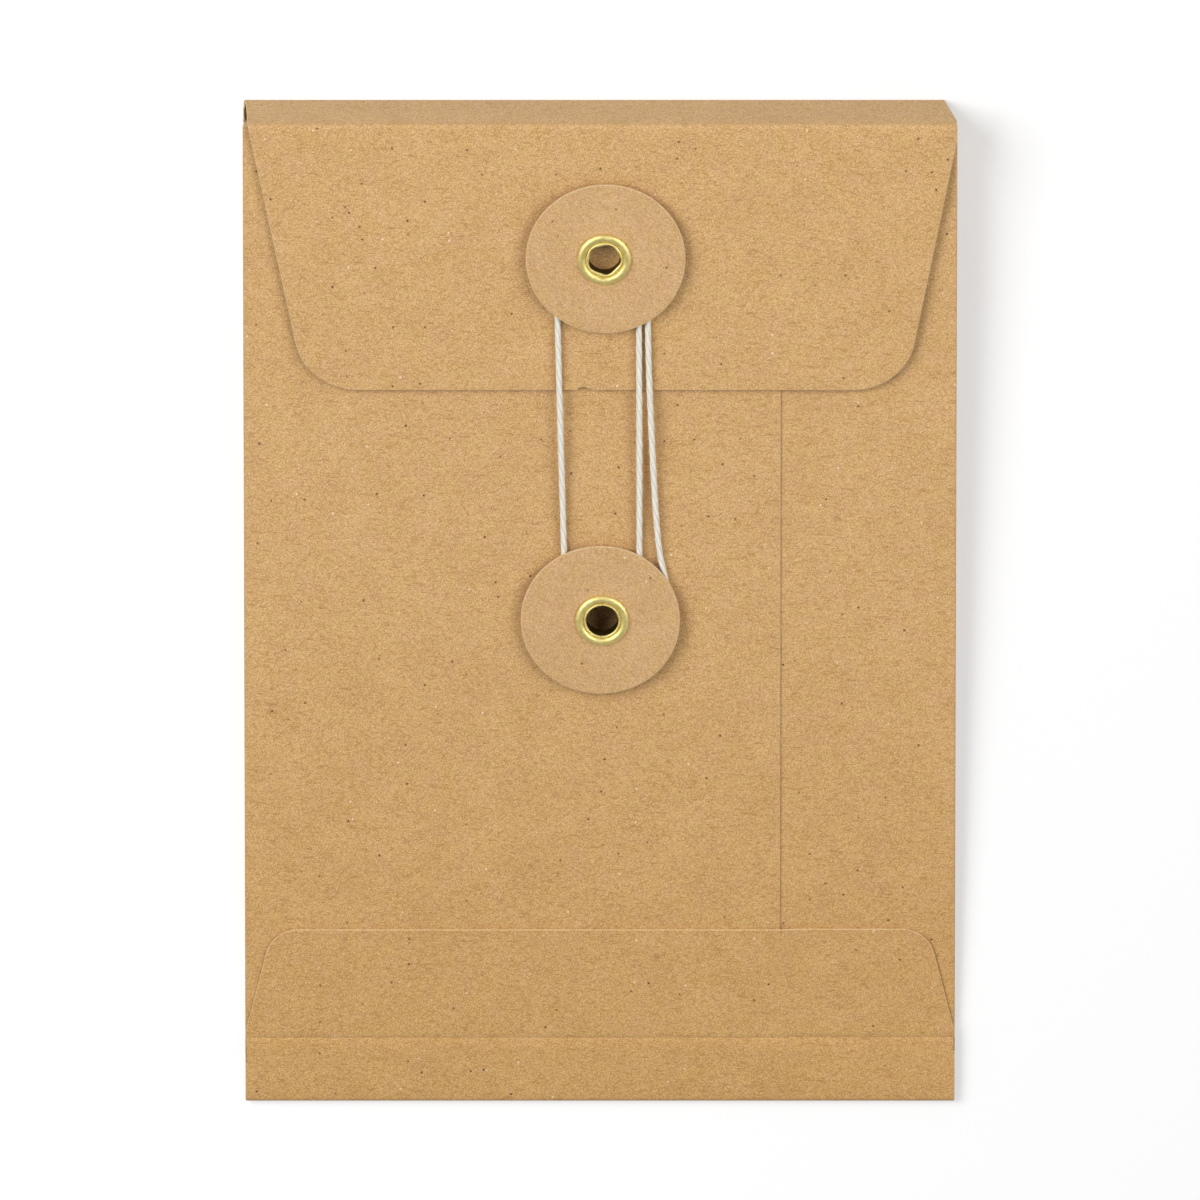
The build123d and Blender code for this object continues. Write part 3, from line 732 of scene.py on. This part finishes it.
for vert in back_fold.data.vertices:
    place = vert.co / MM
    row = round(place.z, 2)
    if place.x < LIP_X - 0.1 and 82 < place.y < SPINE_FROM_Y:
        vert.co = Vector((LIP_OUT_X, place.y, place.z + LIP_HIGH)) * MM
    elif place.x < -56 and row in SPINE_END and place.y > SPINE_FROM_Y:
        vert.co.x = SPINE_END[row] * MM
thicken(back_fold, at_join)
smooth(back_fold)
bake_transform(back_fold)
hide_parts("top_spine")

# %% [markdown]
# The closing flap is cut with slanted sides and large round corners, and its free edge has a small torn nick
# between the strands of the string. It is drawn flat as it leaves the die, cut into a net so that it can
# ripple, laid on the slope, and then the paper beyond its fold is extruded down the spine.

# %% Closing flap and the upper half of the spine
FOLD_S, FLAP_EDGE_S = 169.199, 123.699
FLAP_MIDDLE_W = FLAP_TOP - PAPER / 2
FLAP_LEFT, FLAP_RIGHT = -56.2, 57.0
FLAP_LEFT_TAPER, FLAP_RIGHT_TAPER = 9.2, 8.3
SHOULDER = 2.4
SHOULDER_S = FOLD_S - SHOULDER
FLAP_CORNER = 7.95
FLAP_FOLD_ROUND = 0.5
NICK = {-4.3: 0.0, -3.75: -0.06, -3.45: 0.3, -2.9: 0.52, -2.3: 0.5, -1.6: 0.22, -0.8: 0.0}

flap = flat_sheet("closing_flap_sheet", FLAP_LEFT, FLAP_RIGHT, FLAP_EDGE_S, FOLD_S, FLAP_MIDDLE_W)
cut_across([SHOULDER_S], 1)
pick("verts", lambda p: p.y < FLAP_EDGE_S + 0.1 and p.x < 0)
move(FLAP_LEFT_TAPER, 0, 0)
pick("verts", lambda p: p.y < FLAP_EDGE_S + 0.1 and p.x > 0)
move(-FLAP_RIGHT_TAPER, 0, 0)
pick("verts", lambda p: abs(p.y - SHOULDER_S) < 0.01 and p.x < 0)
move(FLAP_LEFT_TAPER * SHOULDER / (FOLD_S - FLAP_EDGE_S), 0, 0)
pick("verts", lambda p: p.y < FLAP_EDGE_S + 0.1)
bpy.ops.mesh.bevel(offset=FLAP_CORNER * MM, segments=20, affect="VERTICES")
cut_across([share(FLAP_EDGE_S, SHOULDER_S, i / 12) for i in range(1, 12)], 1)
cut_across([share(FLAP_LEFT, FLAP_RIGHT, i / 24) for i in range(1, 24)] + list(NICK), 0)
for nick_x, depth in NICK.items():
    pick("verts", lambda p: abs(p.x - nick_x) < 0.01 and p.y < FLAP_EDGE_S + 0.01)
    move(0, depth, 0)
bpy.ops.object.mode_set(mode="OBJECT")
for vert in flap.data.vertices:
    place = vert.co / MM
    vert.co.z += ripple(place.x, place.y, 7) * limit((FOLD_S - place.y) / RIPPLE_IN_X) * MM
lay(flap, front_in_metres(0, 0, 0))
bpy.ops.object.mode_set(mode="EDIT")
pick("edges", lambda p: place_of(p).y > FOLD_S - 0.01)
bpy.ops.mesh.extrude_region_move(TRANSFORM_OT_translate={"value": (SPINE_MIDDLE - FRONT_FOLD) * MM})
narrow = (SPINE_RIGHT - SPINE_LEFT) / (FLAP_RIGHT - FLAP_LEFT)
pick("verts", lambda p: p.z < SPINE_MIDDLE.z + 0.01)
bpy.ops.transform.resize(value=(narrow, 1, 1), center_override=(0, 0, 0))
move(SPINE_LEFT - FLAP_LEFT * narrow, 0, 0)
pick("edges", lambda p: abs(place_of(p).y - FOLD_S) < 0.01 and abs(place_of(p).z - FLAP_MIDDLE_W) < 0.01)
bpy.ops.mesh.bevel(offset=FLAP_FOLD_ROUND * MM, segments=6, affect="EDGES")
bpy.ops.object.mode_set(mode="OBJECT")
thicken(flap, at_join)
punch(flap, UPPER_X, UPPER_S)
smooth(flap)
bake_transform(flap)
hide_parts("closing_flap")

# %% [markdown]
# Each disc is punched from board. A disc is a small section turned about its axis, so its section is drawn
# once as a plane, cut into steps, bevelled at its corners, and spun full round. The punch leaves the edge a
# little rolled, with paler fibres in the cut, painted paler still as a highlight where the edge catches the
# light, and a free disc is never quite flat.

# %% Discs
DISC_R, DISC_T, BORE_R = 12.75, 0.45, 2.86
DISC_EDGE = 0.14
DISC_LIFT = 1.2
DISC_RINGS = (5, 7, 9, 11, 12.2)


def disc(name, x, s, base_w, side_shift, lift_side, lift):
    """A board disc above the front at (x, s), with one side of it bent up a little."""
    start()
    bpy.ops.mesh.primitive_plane_add(size=1, rotation=(pi / 2, 0, 0))
    made = name_new(name, board, kraft_edge_and_highlight)
    made.scale = ((DISC_R - BORE_R) * MM, DISC_T * MM, 1)
    made.location = ((DISC_R + BORE_R) / 2 * MM, 0, DISC_T / 2 * MM)
    bpy.ops.object.transform_apply(location=True, rotation=True, scale=True)
    bpy.ops.object.mode_set(mode="EDIT")
    pick("verts", lambda p: True)
    bpy.ops.mesh.bevel(offset=DISC_EDGE * MM, segments=4, affect="VERTICES")
    cut_across(DISC_RINGS, 0)
    bpy.ops.mesh.select_all(action="SELECT")
    bpy.ops.mesh.delete(type="ONLY_FACE")
    pick("edges", lambda p: 0.01 < p.z < DISC_T - 0.01 and BORE_R + 0.3 < p.x < DISC_R - 0.3)
    bpy.ops.mesh.delete(type="EDGE")
    bpy.ops.mesh.select_all(action="SELECT")
    bpy.ops.mesh.spin(steps=144, angle=2 * pi, center=(0, 0, 0), axis=(0, 0, 1))
    bpy.ops.mesh.select_all(action="SELECT")
    bpy.ops.mesh.remove_doubles(threshold=1e-6)
    bpy.ops.mesh.normals_make_consistent(inside=False)
    bpy.ops.object.mode_set(mode="OBJECT")
    # The rim faces take the paler cut edge, with its painted highlight.
    for face in made.data.polygons:
        face.material_index = int(face.center.xy.length / MM > DISC_R - 0.95 * DISC_EDGE)
    for vert in made.data.vertices:
        place = vert.co / MM
        reach = max(0, (place.x * cos(lift_side) + place.y * sin(lift_side)) / DISC_R)
        outer = limit((hypot(place.x, place.y) - BORE_R) / (DISC_R - BORE_R))
        vert.co.z += lift * reach**2 * MM
        vert.co.x += side_shift * outer * MM
    lay(made, front_in_metres(x, s, base_w + DISC_LIFT))
    smooth(made)
    return made


upper_disc = disc("upper_disc_board", UPPER_X, UPPER_S, FLAP_TOP, 0.2, radians(-60), 0.06)
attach(upper_disc, "upper_disc")
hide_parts("upper_washer")
lower_disc = disc("lower_disc_board", LOWER_X, LOWER_S, 0, -0.3, radians(-25), 0.3)
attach(lower_disc, "lower_disc")
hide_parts("lower_washer")

# %% [markdown]
# An eyelet is a short brass tube with a domed flange, set with a tool that rolls its far end over behind the
# paper. The dome is the upper half of a flattened torus. Its inner edge is then extruded, ring by ring: a
# groove and a small round lip, the barrel down through disc and paper, and the roll behind. It is a thin
# sheet all over, so a Solidify gives the wall. The tool has left the upper bore uneven, with five corners.

# %% Eyelets
DOME_R, DOME_HALF, DOME_H = 3.66, 0.69, 0.6
RUNNING_GAP = 0.06
FLANGE_W = DISC_LIFT + DISC_T + RUNNING_GAP
EYELET_WALL = 0.2
BORE_FROM, BORE_TO = 0.0, -2.2
RINGS = ((2.95, 0.24), (2.9, 0.33), (2.8, 0.38), (2.7, 0.36), (2.6, 0.26), (2.55, 0.08), (2.54, -0.2),
         (2.54, -1.8), (2.56, -2.15), (2.66, -2.36), (2.9, -2.46), (3.35, -2.45), (3.7, -2.32), (3.87, -2.16))


def eyelet(name, x, s, base_w, corners):
    """A rolled eyelet at (x, s); corners is how far the bore is pulled out of round, in millimetres."""
    start()
    bpy.ops.mesh.primitive_torus_add(
        major_radius=DOME_R * MM, minor_radius=DOME_HALF * MM, major_segments=120, minor_segments=28)
    made = name_new(name, brass, bore_brass_painted_shade)
    bpy.ops.object.mode_set(mode="EDIT")
    bpy.ops.mesh.select_all(action="SELECT")
    bpy.ops.mesh.bisect(plane_co=(0, 0, 0), plane_no=(0, 0, 1), clear_inner=True, threshold=CUT_WITHIN)
    bpy.ops.mesh.select_all(action="SELECT")
    bpy.ops.transform.resize(value=(1, 1, DOME_H / DOME_HALF), center_override=(0, 0, 0))
    ring_r, ring_z = DOME_R - DOME_HALF, 0.0
    pick("edges", lambda p: p.z < 0.001 and hypot(p.x, p.y) < DOME_R - 0.3)
    for next_r, next_z in RINGS:
        bpy.ops.mesh.extrude_region_move(TRANSFORM_OT_translate={"value": (0, 0, (next_z - ring_z) * MM)})
        grow = next_r / ring_r
        bpy.ops.transform.resize(value=(grow, grow, 1), center_override=(0, 0, 0))
        ring_r, ring_z = next_r, next_z
    bpy.ops.mesh.select_all(action="SELECT")
    bpy.ops.mesh.remove_doubles(threshold=CUT_WITHIN)
    bpy.ops.mesh.normals_make_consistent(inside=False)
    bpy.ops.object.mode_set(mode="OBJECT")
    dome_top = max(made.data.polygons, key=lambda f: f.center.z)
    if dome_top.normal.z < 0:
        made.data.flip_normals()
    for vert in made.data.vertices:
        place = vert.co / MM
        radius, angle = hypot(place.x, place.y), atan2(place.y, place.x)
        inner = limit((3.0 - radius) / 0.3) * limit((place.z + 2.0) / 0.8)
        pull = corners * inner * (cos(5 * angle + 0.5) - 0.8 + 0.35 * cos(2 * angle - 0.6))
        vert.co.x *= (radius + pull) / radius
        vert.co.y *= (radius + pull) / radius
    # The barrel's inside faces take the dark brass, a painted shade for the deep bore.
    for face in made.data.polygons:
        face.material_index = int(BORE_TO < face.center.z / MM < BORE_FROM)
    apply(made, "SOLIDIFY", thickness=EYELET_WALL * MM, offset=-1, use_even_offset=True, use_rim=True)
    lay(made, front_in_metres(x, s, base_w + FLANGE_W))
    smooth(made, 60)
    return made


upper_eyelet = eyelet("upper_eyelet_brass", UPPER_X, UPPER_S, FLAP_TOP, 0.12)
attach(upper_eyelet, "flap")
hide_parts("upper_eyelet")
lower_eyelet = eyelet("lower_eyelet_brass", LOWER_X, LOWER_S, 0, 0.0)
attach(lower_eyelet, "pocket")
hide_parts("lower_eyelet")

# %% [markdown]
# The string is hitched round the upper barrel and wound under both discs. Its route is one smooth NURBS
# line, with the points that the solids' route has. A curve with no bevel gives points along that line.

# %% Route of the string
STRING_W = 0.6
EDGE_REACH = 2.7


def by_upper(x, s):
    """A point of the route near the upper disc."""
    return UPPER_X + x, UPPER_S + s, FLAP_TOP + STRING_W


def by_lower(x, s):
    """A point of the route near the lower disc."""
    return LOWER_X + x, LOWER_S + s, STRING_W


def over_edge(x):
    """A point of the route just past the flap's edge."""
    return x, FLAP_EDGE_S - EDGE_REACH, FLAP_TOP + STRING_W


ROUTE = [
    by_upper(1.1, -3.4), by_upper(-3.4, -3.4), by_upper(-3.4, 3.5), by_upper(3.6, 3.5),
    by_upper(3.6, -7.2), by_upper(-5.1, -7.2), by_upper(-5.1, 5.2), by_upper(5.4, 5.2),
    over_edge(6.3), by_lower(5.95, 12.0), by_lower(5.9, -5.9), by_lower(-5.8, -5.9),
    by_lower(-6.1, 12.0), over_edge(-6.45), by_upper(-7.85, 7.4), by_upper(6.9, 7.4),
    by_upper(6.9, -11.3), over_edge(8.0), by_lower(8.85, 12.0), by_lower(10.25, 6.7),
    by_lower(10.65, -0.6), by_lower(7.65, -8.1), by_lower(0.15, -10.7), by_lower(-6.85, -8.0),
]
route_data = bpy.data.curves.new("string_route", "CURVE")
route_data.dimensions = "3D"
route_data.resolution_u = 24
spline = route_data.splines.new("NURBS")
spline.points.add(len(ROUTE) - 1)
for point, place in zip(spline.points, ROUTE):
    point.co = (*(on_front(*place) * MM), 1)
spline.order_u = 3
spline.use_endpoint_u = True
route_object = bpy.data.objects.new("string_route", route_data)
bpy.context.scene.collection.objects.link(route_object)
bpy.context.view_layer.update()
evaluated = route_object.evaluated_get(bpy.context.evaluated_depsgraph_get())
line_mesh = bpy.data.meshes.new_from_object(evaluated)
route_line = [v.co / MM for v in line_mesh.vertices]
bpy.data.meshes.remove(line_mesh)
bpy.data.objects.remove(route_object)

# %% [markdown]
# Three plies twisted together make it string and not wire. Pressed against each other, the plies give a
# section of three round lobes, and that section turns as it goes along the line, one turn in about 8 mm.
# The tube's own map runs round and along the plies, so that yarn lines can follow them. At its start the
# string is held by a small overhand knot, whose line is the classic three-looped one.

# %% String and knot
STRING_R = 0.5
PLIES = 3
PLY_OUT, PLY_R = 0.22, 0.78
SIDES = 24
TWIST = 8.0
STEP = 0.3
SWELL_PART, SWELL_RUN = 0.05, 2.3
KNOT_LOOP, KNOT_R = 0.19, 0.33
KNOT_STEPS, KNOT_OPEN = 96, 0.2


def even_points(line, step):
    """Points a step apart along a line, with the length up to each."""
    points, lengths, gone, wanted = [line[0]], [0.0], 0.0, step
    for a, b in zip(line, line[1:]):
        run = (b - a).length
        while run > 0 and gone + run >= wanted:
            points.append(a.lerp(b, (wanted - gone) / run))
            lengths.append(wanted)
            wanted += step
        gone += run
    return points, lengths


def lobe(k):
    """How far the section reaches at one of its sides, as a part of the radius."""
    from_ply = (k / SIDES * PLIES % 1 - 0.5) * 2 * pi / PLIES
    return PLY_OUT * cos(from_ply) + sqrt(PLY_R**2 - (PLY_OUT * sin(from_ply)) ** 2)


def plied_tube(name, line, radius):
    """A tube along a line, whose section of three plies turns as it goes."""
    points, lengths = even_points(line, STEP)
    mesh = bmesh.new()
    lie = mesh.loops.layers.uv.new("lie")
    last = len(points) - 1
    rings = []
    for i, (middle, length) in enumerate(zip(points, lengths)):
        ahead = (points[min(i + 1, last)] - points[max(i - 1, 0)]).normalized()
        side = ahead.cross(front_out).normalized()
        up = side.cross(ahead)
        swell = radius * (1 + SWELL_PART * noise.noise((length / SWELL_RUN, 0.5, 0.5)))
        ring = []
        for k in range(SIDES):
            angle = 2 * pi * (k / SIDES + length / TWIST)
            out = swell * lobe(k) * (cos(angle) * side + sin(angle) * up)
            ring.append(mesh.verts.new((middle + out) * MM))
        rings.append(ring)
    for i in range(last):
        for k in range(SIDES):
            n = (k + 1) % SIDES
            face = mesh.faces.new((rings[i][k], rings[i][n], rings[i + 1][n], rings[i + 1][k]))
            places = ((k, i), (k + 1, i), (k + 1, i + 1), (k, i + 1))
            for loop, (around, along) in zip(face.loops, places):
                loop[lie].uv = (around / SIDES, lengths[along] * MM)
    mesh.faces.new(rings[0][::-1])
    mesh.faces.new(rings[-1])
    bmesh.ops.recalc_face_normals(mesh, faces=mesh.faces)
    data = bpy.data.meshes.new(name)
    mesh.to_mesh(data)
    mesh.free()
    data.materials.append(cotton)
    made = bpy.data.objects.new(name, data)
    bpy.context.scene.collection.objects.link(made)
    smooth(made, 70)
    return made, points


string, string_points = plied_tube("tie_string_cotton", route_line, STRING_R)
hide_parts("tie_string")
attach(string, "flap")
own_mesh(string)

knot_low, knot_high = [Vector(corner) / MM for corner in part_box("string_knot")]
knot_middle = (knot_low + knot_high) / 2
knot_line = []
for i in range(KNOT_STEPS + 1):
    t = KNOT_OPEN + (2 * pi - 2 * KNOT_OPEN) * i / KNOT_STEPS
    loop_place = Vector((sin(t) + 2 * sin(2 * t), cos(t) - 2 * cos(2 * t), -1.2 * sin(3 * t))) * KNOT_LOOP
    knot_line.append(knot_middle + FRONT.to_3x3() @ loop_place)
knot, _ = plied_tube("string_knot_cotton", knot_line, KNOT_R)
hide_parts("string_knot")
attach(knot, "flap")

# %% [markdown]
# The envelope lies on a white floor under two soft lamps, as on a copy stand: the stronger one stands at the
# upper left, the weaker one at the right. The floor is plain white paint that still takes the shadow. A
# little light of its own, seen only by the camera, by reflections and through clear things, makes the white
# of the page. A flag keeps the weaker lamp off the floor, so that one side alone has a shadow, and the sky
# is darker round the camera, as where its stand is in the way of the light.

# %% Floor
FLOOR_WHITE, FLOOR_GLOW = 0.75, 0.50
start()
bpy.ops.mesh.primitive_plane_add(size=6)
floor = name_new("floor")
floor_paint, tree, output = new_material("white_floor_paint")
path = add(tree, "LightPath", {})
seen = path.outputs["Is Camera Ray"]
for ray in ("Is Glossy Ray", "Is Transmission Ray"):
    seen = add(tree, "Math", {0: seen, 1: path.outputs[ray]}, operation="MAXIMUM").outputs[0]
glow = add(tree, "Math", {0: seen, 1: FLOOR_GLOW}, operation="MULTIPLY")
matt = add(tree, "BsdfDiffuse", {"Color": (FLOOR_WHITE, FLOOR_WHITE, FLOOR_WHITE, 1)})
own = add(tree, "Emission", {"Color": (1, 1, 1, 1), "Strength": glow.outputs[0]})
both = add(tree, "AddShader", {0: matt.outputs[0], 1: own.outputs[0]})
tree.links.new(both.outputs[0], output.inputs["Surface"])
floor.data.materials.append(floor_paint)
print("floor", floor.name)

# %% Light
LAMP_SIZE = 0.75
SKY, SKY_AT_CAMERA = 0.34, 0.12
SKY_EDGE_OUT, SKY_EDGE_IN = 0.90, 0.965


def lamp(name, place, watts):
    """A square soft lamp that faces the envelope."""
    data = bpy.data.lights.new(name, "AREA")
    data.size = LAMP_SIZE
    data.energy = watts
    made = bpy.data.objects.new(name, data)
    bpy.context.scene.collection.objects.link(made)
    made.location = place
    made.rotation_euler = (-Vector(place)).to_track_quat("-Z", "Y").to_euler()
    return made


lamp("key_lamp", (-0.765, 0.505, 0.90), 10.15)
fill_lamp = lamp("fill_lamp", (0.80, 0.405, 0.88), 6.8)
flagged = bpy.data.collections.new("flagged_off_fill")
flagged.objects.link(floor)
fill_lamp.light_linking.receiver_collection = flagged
flagged.collection_objects[0].light_linking.link_state = "EXCLUDE"
world = bpy.data.worlds.new("studio")
world.use_nodes = True
bpy.context.scene.world = world
sky = world.node_tree
towards = add(sky, "TexCoord", {}).outputs["Generated"]
overhead = add(sky, "VectorMath", {0: towards, 1: (0, sin(TIP), cos(TIP))}, operation="DOT_PRODUCT")
ceiling = add(sky, "MapRange", {
    "Value": overhead.outputs["Value"], 1: SKY_EDGE_OUT, 2: SKY_EDGE_IN, 3: SKY, 4: SKY_AT_CAMERA})
sky.links.new(ceiling.outputs[0], sky.nodes["Background"].inputs["Strength"])
sky.nodes["Background"].inputs["Color"].default_value = (1, 1, 1, 1)
bpy.context.scene.view_settings.view_transform = "Standard"
print("lamps and sky are set")
